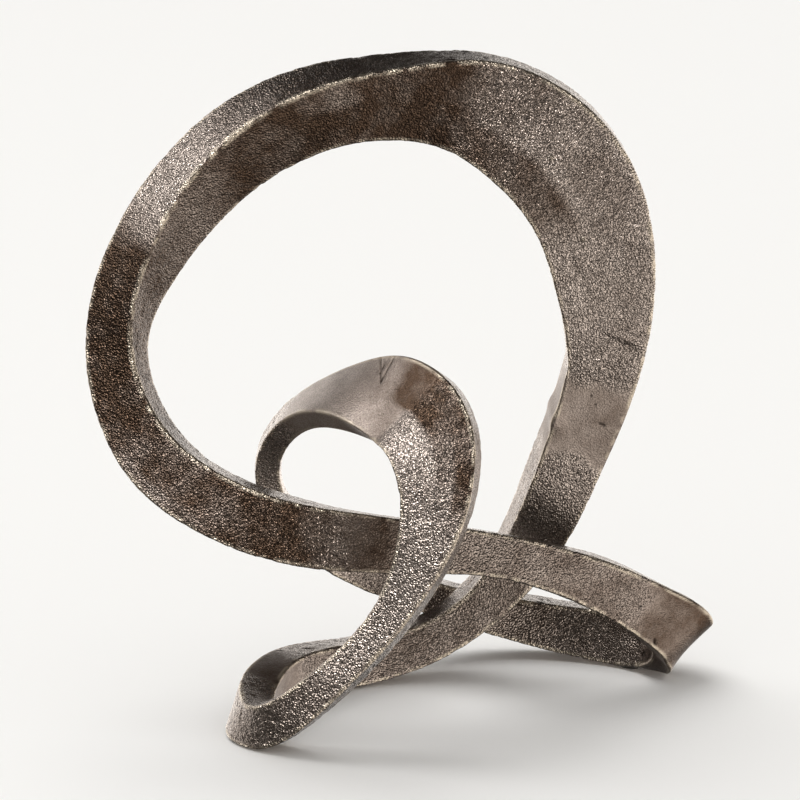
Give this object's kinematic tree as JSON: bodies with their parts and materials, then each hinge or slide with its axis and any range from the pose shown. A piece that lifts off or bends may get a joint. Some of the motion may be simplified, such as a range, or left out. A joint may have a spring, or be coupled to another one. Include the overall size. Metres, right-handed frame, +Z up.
{
  "type": "abstract knot sculpture",
  "caption": "Abstract knot sculpture of one twisting, tapering cast metal bar that loops over and under itself and closes on itself, standing on a table.",
  "frame": {"origin": "centre of the bounding box in X and Y, at the underside of the felt pads that it stands on", "axes": "+Z up, +Y away from the viewer of the pictured front, +X to that viewer's right"},
  "size_m": [0.2748, 0.1622, 0.2898],
  "materials": {
    "cast_metal": "coarse sand-cast skin, antique bronze patina, burnished on the high faces",
    "weld_metal": "ground smooth and flush, antique bronze patina",
    "felt": "dark felt"
  },
  "bodies": {
    "root": {"front_rail": "cast_metal", "ring_left": "cast_metal", "ring_right": "cast_metal", "right_leg": "cast_metal", "front_loop": "cast_metal", "back_loop": "cast_metal", "weld_rail": "weld_metal", "weld_ring_top": "weld_metal", "weld_ring_side": "weld_metal", "weld_low_loop": "weld_metal", "weld_small_loop": "weld_metal", "weld_tip": "weld_metal", "pad_low_loop": "felt", "pad_leg": "felt", "pad_tip": "felt"}
  },
  "joints": []
}
